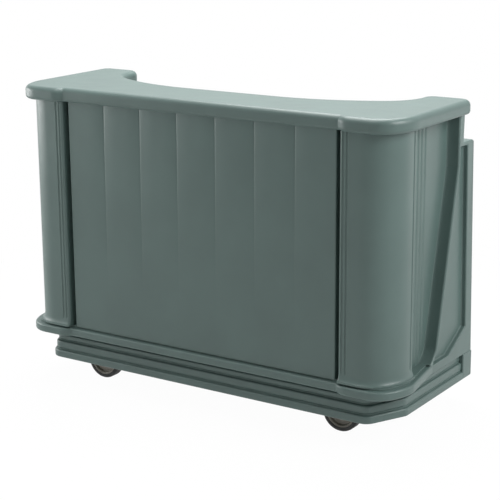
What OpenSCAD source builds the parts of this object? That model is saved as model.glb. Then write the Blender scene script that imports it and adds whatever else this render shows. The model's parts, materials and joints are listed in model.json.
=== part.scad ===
// Mobile bar unit: a moulded counter on casters with a lowered work deck, ice bin and storage at the rear.
// Millimetres, +Z up. Origin on the floor, under the centre of the outline. The guests' side faces -Y.

/* [Overall] */
// length across the bar top
unit_w = 1712; // [1200:1:2200]
// depth from the front nosing to the rear of the plinth
unit_d = 740; // [640:1:1000]
// floor to the top of the bar
unit_h = 1219; // [1050:1:1350]

/* [Bar top] */
// thickness of the bar top
top_t = 54; // [42:1:90]
// rounding of the upper edge
nose_r = 22; // [6:1:24]
// rounding of the lower edge
nose_foot_r = 14; // [3:1:16]
// how far the middle stands behind the corner blocks
step_back = 19; // [5:1:28]
// centre to the inner edge of a corner block
block_x = 620; // [619:1:700]
// rounding of the inner edge of a corner block
block_edge_r = 26; // [25:1:40]
// length over which a corner block runs out into the middle
block_ease = 10; // [8:1:18]
// small radius of a front corner
corner_r = 60; // [30:1:90]
// large radius that follows it along the side
cheek_r = 284; // [150:1:400]
// front edge to the rear end of a wing
wing_reach = 592; // [580:1:680]
// width of a wing
wing_w = 190; // [120:1:260]
// rounding of the inner corner of a wing's end
tip_r = 50; // [26:1:62]
// rounding of the outer corner of a wing's end
wing_corner_r = 42; // [26:1:80]
// depth of the counter at the centre
counter_d = 273; // [150:1:284]
// small radius where the rear edge turns into a wing
inner_r = 150; // [80:1:160]
// large radius that leads to it along the counter
sweep_r = 780; // [300:1:850]

/* [Front panel] */
// number of boards
board_n = 7; // [3:1:12]
// open joint between the panel and a column
panel_gap = 19; // [4:1:24]
// thickness of the panel
panel_t = 38; // [16:1:40]
// how far the panel's face stands behind the columns
panel_back = 14; // [5:1:25]
// half width of a groove at its upper end
groove_w = 24; // [8:1:40]
// depth of a groove at its upper end
groove_d = 9; // [3:1:14]

/* [Columns] */
// overhang of the bar top in front of a column
column_front_over = 20; // [5:1:40]
// overhang of the bar top beside a column
column_side_over = 34; // [5:1:50]
// depth of a column
column_d = 185; // [185:1:260]
// wall of a column
column_wall = 8; // [6:1:14]
// small radius of a column's corner
column_corner_r = 40; // [20:1:60]
// large radius that follows it along the side
column_cheek_r = 279; // [150:1:400]
// rounding of a column's inner edge
column_edge_r = 10; // [4:1:12]
// radius of the grooves along a column's edges
bead_r = 4.5; // [2:0.5:5]
// spacing of the grooves
bead_pitch = 15; // [13:1:20]
// height of the flared foot
flare_h = 34; // [10:1:60]
// reach of the flared foot
flare_out = 13; // [4:1:18]
// thickness of the flared foot's edge
flare_edge = 5; // [2:1:8]

/* [Side panels] */
// how far a side panel stands behind the column's side
side_in = 9; // [5:1:30]
// skin of a side panel
side_skin = 10; // [6:1:16]
// open joint between a column and a side panel
side_gap = 24; // [4:1:30]
// column to the foot of the slanted edge
side_foot_l = 150; // [60:1:170]
// column to the upright part of the rear edge
side_top_l = 308; // [200:1:330]
// rounding of the rear edge
side_roll_r = 30; // [15:1:35]
// width of a board of the side panel
side_board_w = 82; // [50:1:120]
// half width of a groove of the side panel
side_groove_w = 14; // [5:1:25]
// depth of a groove of the side panel
side_groove_d = 4; // [2:1:8]

/* [End panels] */
// centre to the outer face of an end panel
end_half = 808; // [600:1:1050]
// thickness of an end panel
end_t = 46; // [30:1:70]
// lean of the slanted edges, in degrees from upright
slant = 12.5; // [5:0.5:20]
// centre line to the foot of the slanted edge
end_foot_y = 14; // [0:1:60]
// centre line to the rear of the neck under the wing
neck_y = 251; // [200:1:300]
// height of the neck's rear shoulder above the post
neck_h = 116; // [60:1:140]
// width of the rear post
post_w = 54; // [25:1:60]
// how far the rear post leans forwards at its head
post_lean = 32; // [0:1:60]
// rounding of the post's head
post_r = 16; // [5:1:30]
// width of the raised rim
rim_w = 15; // [8:1:25]
// depth of the recessed field
field_d = 20; // [6:1:30]
// height of the field's lower ledge above the plinth
field_foot_h = 32; // [15:1:60]
// length of the field's lower ledge
field_foot_l = 128; // [40:1:150]
// height of the gusset at the post
gusset_h = 78; // [60:1:200]

/* [Base moulding] */
// height of the moulding
lip_h = 47; // [32:1:80]
// rounding of its lower edge
lip_under_r = 14; // [8:1:20]
// rounding of its upper edge
lip_over_r = 9; // [3:1:14]

/* [Plinth] */
// floor to the plinth
plinth_z = 106; // [80:1:120]
// height of the plinth
plinth_h = 103; // [95:1:120]
// bar top's front edge to the plinth's front
plinth_front_in = 40; // [20:1:80]
// centre to the plinth's side
plinth_half = 810; // [600:1:1050]
// length of a corner's chamfer along the front
chamfer_x = 80; // [30:1:120]
// length of a corner's chamfer along the side
chamfer_y = 158; // [50:1:200]
// rounding of the chamfer's ends
chamfer_r = 50; // [36:1:80]
// thickness of the plinth at its foot
plinth_wall = 35; // [30:1:36]
// setback from one layer to the next
layer_step = 9; // [4:1:12]
// depth of the grooves between the layers
layer_groove_d = 8; // [3:1:8]
// height of the grooves between the layers
layer_groove_h = 5; // [2:1:8]
// rounding of the layers' edges
layer_r = 7; // [2:1:10]
// length of the rear corner blocks along the side
rear_block_l = 74; // [40:1:120]
// thickness of the rear sill
sill_t = 18; // [10:1:30]
// width of the frame that carries the base deck
frame_w = 45; // [20:1:60]
// thickness of that frame
frame_t = 12; // [6:1:14]

/* [Carcass] */
// thickness of the base deck
base_deck_t = 20; // [12:1:30]
// thickness of the inner walls
wall_t = 16; // [10:1:25]
// thickness of the back wall
back_t = 14; // [8:1:25]
// floor to the working surface
work_z = 890; // [800:1:950]
// thickness of the work deck
work_t = 20; // [12:1:30]
// centre line to the work deck's rear edge
work_rear_y = 250; // [180:1:280]
// height of the work deck's rear apron
apron_h = 84; // [40:1:120]
// thickness of that apron
apron_t = 16; // [8:1:25]
// centre to the divider
divider_x = 70; // [-200:1:100]
// floor to the shelf
shelf_z = 530; // [350:1:700]
// thickness of the shelf
shelf_t = 18; // [10:1:30]
// depth of the shelf's setback from the apron
shelf_in = 20; // [0:1:60]
// section of the cleats under the shelf
cleat_s = 20; // [12:1:30]
// number of drain channels in the work deck
channel_n = 5; // [3:1:8]
// spacing of the drain channels
channel_pitch = 34; // [20:1:40]
// width of a drain channel
channel_w = 14; // [6:1:18]
// depth of a drain channel
channel_d = 3; // [1:1:6]
// length of a drain channel
channel_l = 230; // [150:1:240]

/* [Ice bin] */
// centre to the ice bin's centre
bin_x = 398; // [350:1:399]
// centre line to the ice bin's centre
bin_y = 62; // [40:1:90]
// inner length of the ice bin
bin_l = 430; // [300:1:432]
// inner width of the ice bin
bin_w = 250; // [200:1:260]
// inner depth of the ice bin
bin_d = 280; // [200:1:320]
// rounding of the bin's upright corners
bin_r = 22; // [15:1:30]
// wall of the liner
liner_t = 5; // [3:1:6]
// width of the liner's rim on the deck
liner_rim = 30; // [15:1:40]
// thickness of the insulating jacket
jacket_t = 34; // [20:1:40]
// thickness of the lid
lid_t = 18; // [10:1:30]
// depth of the lid's plug
plug_h = 12; // [5:1:25]
// clearance round the plug
plug_gap = 3; // [1:0.5:6]
// length of the lid's handle
handle_l = 150; // [100:1:200]
// height of the lid's handle
handle_h = 42; // [30:1:60]
// section of the lid's handle
handle_s = 14; // [10:1:20]

/* [Drain] */
// outer radius of the drain pipe
drain_r = 13; // [8:1:20]
// wall of the drain pipe
drain_wall = 3; // [2:1:5]
// radius of the drain's flange in the bin
drain_flange_r = 30; // [20:1:40]
// thickness of the drain's flange
drain_flange_t = 4; // [2:1:8]
// length of the pipe below the jacket
drain_drop = 60; // [30:1:120]
// radius of the valve's body
valve_r = 21; // [17:1:30]
// length of the valve's body
valve_l = 62; // [40:1:90]
// radius of the valve's stem
stem_r = 5; // [3:1:8]
// reach of the stem from the valve's body
stem_l = 16; // [10:1:25]
// length of the lever
lever_l = 92; // [50:1:130]
// width of the lever
lever_w = 18; // [12:1:25]
// thickness of the lever
lever_t = 6; // [3:1:10]
// radius of the hose spigot
spigot_r = 9.5; // [6:0.5:14]
// length of the hose spigot
spigot_l = 30; // [20:1:50]

/* [Bottle insert] */
// centre to the insert's centre
well_x = -400; // [-401:1:-370]
// length of the insert
well_l = 436; // [300:1:438]
// width of the insert
well_w = 244; // [236:1:248]
// wall of the insert
well_wall = 4; // [2:1:6]
// depth of the insert
well_d = 150; // [80:1:200]
// thickness of the insert's rim
well_rim_t = 8; // [4:1:12]
// width of the insert's rim on the deck
well_rim = 20; // [12:1:30]

/* [Speed rail] */
// length of the rail
rail_l = 1060; // [600:1:1300]
// inner depth of the trough
rail_d = 104; // [80:1:108]
// height of the trough's outer wall
rail_front_h = 78; // [50:1:110]
// height of the rail's back
rail_back_h = 160; // [120:1:200]
// sheet thickness
rail_t = 2.5; // [1.5:0.5:4]
// width of a hook
hook_w = 70; // [40:1:100]
// reach of a hook over the deck
hook_reach = 30; // [20:1:50]
// depth of a hook's tongue
hook_drop = 12; // [8:1:16]

/* [Casters] */
// radius of a wheel
wheel_r = 76; // [60:1:76]
// width of a tyre
wheel_w = 46; // [35:1:50]
// height of the tyre's tread
tread = 15; // [8:1:25]
// centre to a caster's mounting axis, along the unit
caster_x = 580; // [400:1:650]
// plinth's front to the front casters' axis
caster_front_in = 156; // [156:1:200]
// plinth's rear to the rear casters' axis
caster_rear_in = 150; // [150:1:200]
// trail of the swivelling casters
trail = 36; // [20:1:38]
// radius of an axle
axle_r = 6; // [4:1:8]
// thickness of a fork's leg
leg_t = 5; // [4:1:8]
// space between a leg and the hub
leg_gap = 2; // [1:0.5:4]
// mounting plate's length
plate_l = 112; // [90:1:130]
// mounting plate's width
plate_w = 96; // [80:1:110]
// mounting plate's thickness
plate_t = 6; // [4:1:8]
// radius of the swivel's bearing
race_r = 34; // [25:1:40]
// height of the swivel's bearing
race_h = 9; // [6:1:14]
// thickness of the fork's crown
crown_t = 7; // [5:1:10]
// radius of the king pin
king_r = 8; // [6:1:10]
// radius of a caster bolt
bolt_r = 4; // [3:0.5:5]
// radius of a bolt's head
bolt_head_r = 8; // [6:1:9]
// height of a bolt's head
bolt_head_h = 5; // [3:1:8]
// bolt spacing along the plate
bolt_x = 88; // [70:1:104]
// bolt spacing across the plate
bolt_y = 72; // [60:1:84]
// length of a brake pedal
pedal_l = 76; // [50:1:80]
// width of a brake pedal
pedal_w = 40; // [30:1:44]
// thickness of a brake pedal
pedal_t = 4; // [3:1:4]
// radius of a brake pedal's pin
pedal_pin_r = 3; // [2:0.5:3]

/* [Hidden] */
$fn = 96;
// radial running clearance
run_gap = 0.05;
// clearance of a seat
seat_gap = 0.5;
// overrun of a cut
over = 2;
// share of the panel's height over which the grooves fade
fade_share = 0.92;
// turn of the small corner arc, in degrees
corner_turn = 60;
// turn by which the edge of a corner block starts clear of the middle, in degrees
block_lead = 12;
// steps of a rounded corner
arc_n = 8;
// steps of a rounded edge
edge_n = 6;
// steps of a layer's rounded edge
layer_n = 3;

half_w = unit_w / 2;
front_y = -unit_d / 2;
rear_y = unit_d / 2;
top_z = unit_h - top_t;
mid_y = front_y + step_back;
wing_y = front_y + wing_reach;
wing_x = half_w - wing_w;

plinth_top = plinth_z + plinth_h;
lip_top = plinth_top + lip_h;
body_h = top_z - lip_top;
column_y = front_y + column_front_over;
column_x = half_w - column_side_over;
column_rear = column_y + column_d;
panel_y = column_y + panel_back;
panel_half = block_x - panel_gap;
panel_rear = panel_y + panel_t;
back_rear = panel_rear + back_t;
side_x = column_x - side_in;
inner_x = end_half - end_t;
wall_x = inner_x - wall_t;
deck_top = plinth_top + base_deck_t;
work_under = work_z - work_t;
base_rear = rear_y - seat_gap;

body_c = [0.38, 0.44, 0.42];
inside_c = [0.42, 0.48, 0.46];
white_c = [0.86, 0.87, 0.86];
foam_c = [0.78, 0.74, 0.62];
steel_c = [0.70, 0.71, 0.72];
zinc_c = [0.60, 0.61, 0.62];
rubber_c = [0.10, 0.10, 0.11];
hub_c = [0.55, 0.54, 0.50];
brass_c = [0.72, 0.58, 0.30];
red_c = [0.65, 0.12, 0.10];

// A point at an angle on a circle.
function polar(r, a) = [r * cos(a), r * sin(a)];
// Points of an arc.
function arc(c, r, from, turn, n) = [for (i = [0:n]) c + polar(r, from + turn * i / n)];
// Runs of a path that goes anticlockwise round the material, so that outwards is to the right.
function line(a, b) = ["line", a, b];
function bend(c, r, from, turn) = ["bend", c, r, from, turn];
function hollow(c, r, from, turn) = ["hollow", c, r, from, turn];
function heading(r) = atan2(r[2].y - r[1].y, r[2].x - r[1].x);
// Points of a run, moved into the material.
function inset(r, d) =
    r[0] == "line" ? [r[1] + polar(d, heading(r) + 90), r[2] + polar(d, heading(r) + 90)]
    : arc(r[1], r[2] + (r[0] == "hollow" ? d : -d), r[3], r[4], arc_n);
// Points of a chain of runs, each of which starts where the one before it ends.
function inset_all(runs, d) = [for (k = [0:len(runs) - 1]) let (q = inset(runs[k], d))
    for (i = [k == 0 ? 0 : 1:len(q) - 1]) q[i]];

// Mirror image of points, in the opposite order.
function mirrored(h) = [for (i = [len(h) - 1:-1:0]) [-h[i].x, h[i].y]];
// Right half of an outline or of a path, made whole.
function whole(h) = concat(h, mirrored(h));
function both_ways(h) = concat(mirrored(h), h);
// Inset and height of the points of an edge that is rounded below and above.
function edge_levels(h, upper, lower) = concat(
    [for (i = [0:edge_n]) lower * [1 - sin(90 * i / edge_n), 1 - cos(90 * i / edge_n)]],
    [for (i = [0:edge_n]) [0, h] + upper * [1 - cos(90 * i / edge_n), sin(90 * i / edge_n) - 1]]);
// Sections of a profile, drawn outwards and up, at the points of a path.
function sections(profile, tracks) = [for (i = [0:len(tracks[0]) - 1])
    [for (k = [len(profile) - 1:-1:0]) [tracks[k][i].x, tracks[k][i].y, profile[k].y]]];

// Sense of a triangle in plan.
function sense(a, b, c) = sign((b.x - a.x) * (c.y - a.y) - (b.y - a.y) * (c.x - a.x));
// Whether the next triangle between two chains takes its side from the first: if only that one lies
// inside the loop, or else by the shorter diagonal.
function first_next(p, i, j) = let (a = sense(p[i], p[i + 1], p[j]), b = sense(p[i], p[j - 1], p[j]))
    a == b ? norm(p[i + 1] - p[j]) < norm(p[i] - p[j - 1]) : a > b;
// Triangles between the two chains of a loop, points 0 to m and the rest.
function zip(p, i, j, m) =
    i == m && j == m + 1 ? []
    : j == m + 1 || (i < m && first_next(p, i, j)) ? concat([[i, i + 1, j]], zip(p, i + 1, j, m))
    : concat([[i, j - 1, j]], zip(p, i, j - 1, m));

// Skin over a stack of closed loops with the same number of points, the first m + 1 of them a chain.
module loft(loops, m) {
    n = len(loops[0]);
    last = (len(loops) - 1) * n;
    polyhedron(
        points = [for (l = loops) for (p = l) p],
        faces = concat(zip(loops[0], 0, n - 1, m),
            [for (t = zip(loops[len(loops) - 1], 0, n - 1, m)) [for (i = [2:-1:0]) last + t[i]]],
            [for (j = [0:n:last - n]) for (i = [0:n - 1]) [j + i, j + n + i, j + n + (i + 1) % n]],
            [for (j = [0:n:last - n]) for (i = [0:n - 1])
                [j + i, j + n + (i + 1) % n, j + (i + 1) % n]]));
}

module box(lo, hi) {
    translate(lo)
        cube(hi - lo);
}

// A plate drawn as depth and height and thickened along +X.
module side_plate(x, t) {
    translate([x, 0, 0])
        rotate([90, 0, 90])
            linear_extrude(t)
                children();
}

// Runs of a front corner: edge of the block, front, small arc, large arc.
function corner_c1(y, x, r1, r2) =
    [x - r1 * sin(corner_turn) - r2 * (1 - sin(corner_turn)), y + r1];
function corner_c2(y, x, r1, r2) = corner_c1(y, x, r1, r2) + polar(r1 - r2, corner_turn - 90);
function corner_runs(y, x, r1, r2, from_x) = [
    line([from_x, y], [corner_c1(y, x, r1, r2).x, y]),
    bend(corner_c1(y, x, r1, r2), r1, -90, corner_turn),
    bend(corner_c2(y, x, r1, r2), r2, corner_turn - 90, 90 - corner_turn)];
block_start = block_x + block_edge_r;
block_a = asin(max(0, 1 - step_back / block_edge_r)) + block_lead;
block_bend = bend([block_start, front_y + block_edge_r], block_edge_r, 180 + block_a, 90 - block_a);
front_corner = corner_runs(front_y, half_w, corner_r, cheek_r, block_start);
cheek_c = corner_c2(front_y, half_w, corner_r, cheek_r);

// Outer side of the bar top, up to the wing's end.
top_outer = concat([block_bend], front_corner, [
    line([half_w, cheek_c.y], [half_w, wing_y - wing_corner_r]),
    bend([half_w - wing_corner_r, wing_y - wing_corner_r], wing_corner_r, 0, 90)]);
// Inner side: wing, small arc, large arc, which ends at the counter's rear edge.
counter_y = mid_y + counter_d;
turn_c = [wing_x - inner_r, counter_y + sweep_r + (inner_r - sweep_r) * sin(corner_turn)];
sweep_c = turn_c + polar(inner_r - sweep_r, -corner_turn);
top_inner = [
    bend([wing_x + tip_r, wing_y - tip_r], tip_r, 90, 90),
    line([wing_x, wing_y - tip_r], [wing_x, turn_c.y]),
    hollow(turn_c, inner_r, 0, -corner_turn),
    hollow(sweep_c, sweep_r, -corner_turn, corner_turn - 90)];

// Corner of a profile: the piece that rounds it off.
module round_off(r) {
    difference() {
        square(r + over);
        circle(r);
    }
}

// Outer side of the bar top or of the moulding, moved into the material.
function outer_side(runs, d) = both_ways(concat([[block_x - block_ease + d, mid_y + d]],
    inset_all(runs, d)));

module bar_top() {
    color(body_c)
        translate([0, 0, top_z])
            loft([for (e = edge_levels(top_t, nose_r, nose_foot_r))
                [for (p = concat(outer_side(top_outer, e.x), whole(inset_all(top_inner, e.x))))
                    [p.x, p.y, e.y]]], len(outer_side(top_outer, 0)) - 1);
}

// Groove with two convex shoulders that meet in a sharp valley, drawn with its depth along +y.
module shoulder_groove(w, d) {
    r = (w * w + d * d) / (2 * d);
    difference() {
        translate([-w, -over])
            square([2 * w, d + over]);
        for (s = [-1, 1])
            translate([s * w, r])
                circle(r);
    }
}

module front_panel() {
    pitch = 2 * panel_half / board_n;
    color(body_c)
        difference() {
            box([-panel_half, panel_y, lip_top], [panel_half, panel_rear, top_z]);
            for (i = [1:board_n - 1])
                translate([i * pitch - panel_half, panel_y, top_z])
                    rotate([-atan(groove_d / (body_h * fade_share)), 0, 0])
                        translate([0, 0, -body_h])
                            linear_extrude(body_h + groove_d)
                                shoulder_groove(groove_w, groove_d);
        }
}

column_corner = corner_runs(column_y, column_x, column_corner_r, column_cheek_r, block_x);
column_runs = [column_corner[1], column_corner[2], line([column_x,
    corner_c2(column_y, column_x, column_corner_r, column_cheek_r).y], [column_x, column_rear])];

// Inset and height of the points of a column's foot: a hollow quarter over a blunt edge.
flare_levels = concat([[-flare_out, 0]], [for (i = [0:edge_n]) let (a = 90 * i / edge_n)
    [(flare_out + flare_edge / 4) * sin(a) - flare_out, flare_h - (flare_h - flare_edge) * cos(a)]]);
function column_plan(d) = concat(
    arc([block_x + column_edge_r, column_y + d + column_edge_r], column_edge_r, 180, 90, arc_n),
    inset_all(column_runs, d), [[block_x, column_rear]]);

module column() {
    difference() {
        union() {
            linear_extrude(body_h)
                polygon(column_plan(0));
            loft([for (e = flare_levels) [for (p = column_plan(e.x)) [p.x, p.y, e.y]]],
                len(column_plan(0)) - 2);
        }
        translate([0, 0, -over])
            linear_extrude(body_h + 2 * over)
                intersection() {
                    polygon(column_plan(column_wall));
                    translate([block_x + column_wall, column_y])
                        square([column_x, column_d - column_wall]);
                }
        for (i = [1, 2])
            translate([block_x + i * bead_pitch, column_y, flare_h])
                cylinder(r = bead_r, h = body_h);
        translate([column_x, column_rear - bead_pitch, flare_h])
            cylinder(r = bead_r, h = body_h);
    }
}

module right_column() {
    color(body_c)
        translate([0, 0, lip_top])
            column();
}

module left_column() {
    mirror([1, 0, 0])
        right_column();
}

// Rolled rear end of a side panel as a prism, shrunk on all sides by d.
module rolled(d, l) {
    r = side_roll_r - d;
    linear_extrude(l)
        difference() {
            translate([0, -unit_d])
                square([side_x - d, unit_d - d]);
            translate([side_x - side_roll_r, -side_roll_r])
                round_off(r);
        }
}

module side_form(d) {
    intersection() {
        translate([0, column_rear + side_foot_l, 0])
            rotate([-slant, 0, 0])
                translate([0, 0, -unit_h])
                    rolled(d, 3 * unit_h);
        translate([0, column_rear + side_top_l, -over])
            rolled(d, unit_h);
        box([inner_x - (d > 0 ? over : 0), column_rear + side_gap + d, d > 0 ? -over : 0],
            [half_w, rear_y, d > 0 ? body_h + over : body_h]);
    }
}

module right_side_panel() {
    color(body_c)
        translate([0, 0, lip_top])
            difference() {
                side_form(0);
                side_form(side_skin);
                for (i = [1, 2, 3])
                    translate([side_x, column_rear + side_gap + i * side_board_w - side_groove_w * 2, -over])
                        rotate([0, 0, 90])
                            linear_extrude(body_h + 2 * over)
                                shoulder_groove(side_groove_w, side_groove_d);
            }
}

module left_side_panel() {
    mirror([1, 0, 0])
        right_side_panel();
}

// End panel seen from the side, heights above the plinth.
end_h = top_z - plinth_top;
post_top = end_h - neck_h;
function slant_y(h) = end_foot_y + h * tan(slant);
function post_y(h) = rear_y - over - post_lean * h / post_top;
post_corner = [post_y(post_top) - post_r, post_top - post_r];
end_outline = concat([[end_foot_y, 0], [post_y(0), 0]],
    arc(post_corner, post_r, 0, 90, arc_n),
    [[neck_y - post_r / 4, post_top], [neck_y, end_h - post_r], [neck_y - post_r / 2, end_h],
    [slant_y(end_h), end_h]]);
field_top = post_top - rim_w;
function rim_y(h) = slant_y(h) + rim_w;
end_field = [[rim_y(field_foot_h), field_foot_h], [rim_y(field_foot_h) + field_foot_l, field_foot_h],
    [post_y(gusset_h + field_foot_h) - post_w, gusset_h + field_foot_h],
    [post_y(field_top) - post_w, field_top], [rim_y(field_top), field_top]];

module right_end_panel() {
    color(body_c)
        translate([0, 0, plinth_top])
            difference() {
                side_plate(inner_x, end_t)
                    polygon(end_outline);
                side_plate(end_half - field_d, field_d + over)
                    polygon(end_field);
            }
}

module left_end_panel() {
    mirror([1, 0, 0])
        right_end_panel();
}

lip_rear = end_foot_y - seat_gap;
lip_outer = concat([block_bend], front_corner, [line([half_w, cheek_c.y], [half_w, lip_rear])]);
lip_inner = [[inner_x + seat_gap, lip_rear], [inner_x + seat_gap, panel_rear - seat_gap]];

module base_moulding() {
    color(body_c)
        translate([0, 0, plinth_top])
            loft([for (e = edge_levels(lip_h, lip_over_r, lip_under_r))
                [for (p = concat(outer_side(lip_outer, e.x), whole(lip_inner))) [p.x, p.y, e.y]]],
                len(outer_side(lip_outer, 0)) - 1);
}

// Stepped profile of the plinth, heights above its foot.
plinth_y = front_y + plinth_front_in;
layer_h = (plinth_h - 2 * layer_groove_h) / 3;
function layer_z(i) = i * (layer_h + layer_groove_h);
function layer_pts(i) = concat(
    arc([-i * layer_step - layer_r, layer_z(i) + layer_r], layer_r, -90, 90, layer_n),
    arc([-i * layer_step - layer_r, layer_z(i) + layer_h - layer_r], layer_r, 0, 90, layer_n),
    i < 2 ? [[-i * layer_step - layer_step - layer_groove_d, layer_z(i) + layer_h],
        [-i * layer_step - layer_step - layer_groove_d, layer_z(i + 1)]] : []);
plinth_inner = concat([plinth_h], [for (i = [2:-1:0]) for (h = [layer_h - layer_r, layer_r]) layer_z(i) + h],
    [0]);
plinth_profile = concat([for (i = [0:2]) for (p = layer_pts(i)) p],
    [for (h = plinth_inner) [-plinth_wall, h]]);
chamfer_a = atan2(chamfer_y, chamfer_x);
chamfer_t1 = chamfer_r * tan(chamfer_a / 2);
chamfer_t2 = chamfer_r * tan((90 - chamfer_a) / 2);
vertex_1 = [plinth_half - chamfer_x, plinth_y];
vertex_2 = [plinth_half, plinth_y + chamfer_y];
plinth_runs = [
    bend(vertex_1 + [-chamfer_t1, chamfer_r], chamfer_r, -90, chamfer_a),
    line(vertex_1 + polar(chamfer_t1, chamfer_a), vertex_2 - polar(chamfer_t2, chamfer_a)),
    bend(vertex_2 + [-chamfer_r, chamfer_t2], chamfer_r, chamfer_a - 90, 90 - chamfer_a),
    line(vertex_2 + [0, chamfer_t2], [plinth_half, rear_y - rear_block_l])];

skirt_rear = rear_y - rear_block_l;
skirt_inner = plinth_half - plinth_wall;

module plinth() {
    color(body_c)
        translate([0, 0, plinth_z])
            loft(sections(plinth_profile,
                [for (q = plinth_profile) both_ways(inset_all(plinth_runs, -q.x))]), len(plinth_inner) - 1);
}

module rear_sill() {
    color(body_c)
        translate([0, 0, plinth_z]) {
            for (s = [0, 1])
                mirror([s, 0, 0])
                    box([skirt_inner, skirt_rear, 0], [plinth_half, rear_y, plinth_h]);
            box([-skirt_inner, rear_y - sill_t, 0], [skirt_inner, rear_y, plinth_h]);
        }
}

// Frame inside the plinth that the base deck rests on.
module base_frame() {
    half = inset_all(plinth_runs, plinth_wall);
    inner = plinth_wall + frame_w;
    color(zinc_c)
        translate([0, 0, plinth_top - frame_t])
            linear_extrude(frame_t)
                difference() {
                    polygon(whole(concat(half, [[skirt_inner, rear_y - sill_t]])));
                    polygon(whole([[vertex_1.x - frame_w, plinth_y + inner],
                        [plinth_half - inner, vertex_2.y + frame_w],
                        [plinth_half - inner, rear_y - inner]]));
                }
}

// Mounting axes of the casters: [x, y] of the front left, rear left, front right and rear right one.
front_caster_y = plinth_y + caster_front_in;
rear_caster_y = rear_y - caster_rear_in;
caster_pos = [[-caster_x, front_caster_y], [-caster_x, rear_caster_y], [caster_x, front_caster_y],
    [caster_x, rear_caster_y]];

module at_bolts(p) {
    for (sx = [-1, 1])
        for (sy = [-1, 1])
            translate([p.x + sx * bolt_x / 2, p.y + sy * bolt_y / 2, 0])
                children();
}

module base_deck() {
    color(inside_c)
        difference() {
            box([-inner_x, panel_rear, plinth_top], [inner_x, base_rear, deck_top]);
            for (p = caster_pos)
                at_bolts(p)
                    translate([0, 0, plinth_top - over])
                        cylinder(r = bolt_r + run_gap, h = base_deck_t + 2 * over);
        }
}

module back_wall() {
    color(inside_c)
        box([-block_x, panel_rear, deck_top], [block_x, back_rear, top_z]);
}

module right_inner_wall() {
    wall_h = deck_top - plinth_top;
    color(inside_c)
        translate([0, 0, plinth_top])
            side_plate(wall_x, wall_t)
                polygon([[column_rear, wall_h], [post_y(wall_h) - post_w / 2, wall_h],
                    [post_y(post_top) - post_w / 2, post_top - rim_w], [neck_y, post_top - rim_w],
                    [neck_y - post_r / 2, end_h], [column_rear, end_h]]);
}

module left_inner_wall() {
    mirror([1, 0, 0])
        right_inner_wall();
}

module divider() {
    color(inside_c)
        box([divider_x - wall_t / 2, back_rear, deck_top],
            [divider_x + wall_t / 2, work_rear_y - apron_t, work_under]);
}

module shelf() {
    color(inside_c)
        difference() {
            box([-wall_x, back_rear, shelf_z - shelf_t],
                [divider_x - wall_t / 2, work_rear_y - apron_t - shelf_in, shelf_z]);
            box([-wall_x - over, back_rear - over, shelf_z - shelf_t - over],
                [-block_x, column_rear, shelf_z + over]);
        }
}

module shelf_cleats() {
    low = shelf_z - shelf_t - cleat_s;
    rear = work_rear_y - apron_t - 2 * shelf_in;
    color(inside_c) {
        box([-wall_x, column_rear, low], [cleat_s - wall_x, rear, low + cleat_s]);
        box([divider_x - wall_t / 2 - cleat_s, back_rear, low],
            [divider_x - wall_t / 2, rear, low + cleat_s]);
        box([-block_x, back_rear, low], [divider_x - wall_t / 2 - 2 * cleat_s, back_rear + cleat_s,
            low + cleat_s]);
    }
}

// Upright block with rounded corners, from its centre.
module soft_block(l, w, h, r) {
    difference() {
        translate([-l / 2, -w / 2, 0])
            cube([l, w, h]);
        for (sx = [0, 1])
            for (sy = [0, 1])
                mirror([sx, 0, 0])
                    mirror([0, sy, 0])
                        translate([l / 2 - r, w / 2 - r, -over])
                            linear_extrude(h + 2 * over)
                                round_off(r);
    }
}

bin_floor = work_z - bin_d;
jacket_low = bin_floor - liner_t - jacket_t;
rail_y = work_rear_y + run_gap;
hook_slot_y = work_rear_y - hook_reach;

module hook_places() {
    for (i = [-1, 0, 1])
        translate([i * (rail_l - 2 * hook_w) / 2, 0, 0])
            children();
}

// The work deck is laid in five plates round the two cut-outs.
cut_front = bin_y - bin_w / 2 - liner_t - seat_gap;
cut_rear = bin_y + bin_w / 2 + liner_t + seat_gap;
deck_side_rear = work_rear_y - apron_t;

module deck_front() {
    color(inside_c)
        box([-block_x, back_rear, work_under], [block_x, cut_front, work_z]);
}

module deck_right() {
    color(inside_c)
        box([block_x, column_rear, work_under], [wall_x, deck_side_rear, work_z]);
}

module deck_left() {
    mirror([1, 0, 0])
        deck_right();
}

module deck_middle() {
    color(inside_c)
        difference() {
            box([well_x + well_l / 2 + seat_gap, cut_front, work_under],
                [bin_x - bin_l / 2 - liner_t - seat_gap, cut_rear, work_z]);
            for (i = [0:channel_n - 1])
                translate([(i - (channel_n - 1) / 2) * channel_pitch, bin_y - channel_l / 2,
                    work_z - channel_d])
                    box([-channel_w / 2, 0, 0], [channel_w / 2, channel_l, channel_d + over]);
        }
}

module deck_rear() {
    color(inside_c)
        difference() {
            union() {
                box([-block_x, cut_rear, work_under], [block_x, work_rear_y, work_z]);
                box([-wall_x, deck_side_rear, work_z - apron_h], [wall_x, work_rear_y, work_z]);
            }
            hook_places()
                box([-hook_w / 2 - seat_gap, hook_slot_y - 2 * seat_gap, work_z - hook_drop - seat_gap],
                    [hook_w / 2 + seat_gap, hook_slot_y + rail_t + seat_gap, work_z + over]);
        }
}

module bottle_insert() {
    color(inside_c)
        translate([well_x, bin_y, work_z])
            difference() {
                union() {
                    soft_block(well_l + 2 * well_rim, well_w + 2 * well_rim, well_rim_t, bin_r + well_rim);
                    translate([0, 0, -well_d])
                        soft_block(well_l, well_w, well_d + over, bin_r);
                }
                translate([0, 0, well_wall - well_d])
                    soft_block(well_l - 2 * well_wall, well_w - 2 * well_wall, well_d + well_rim_t,
                        bin_r - well_wall);
            }
}

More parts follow.
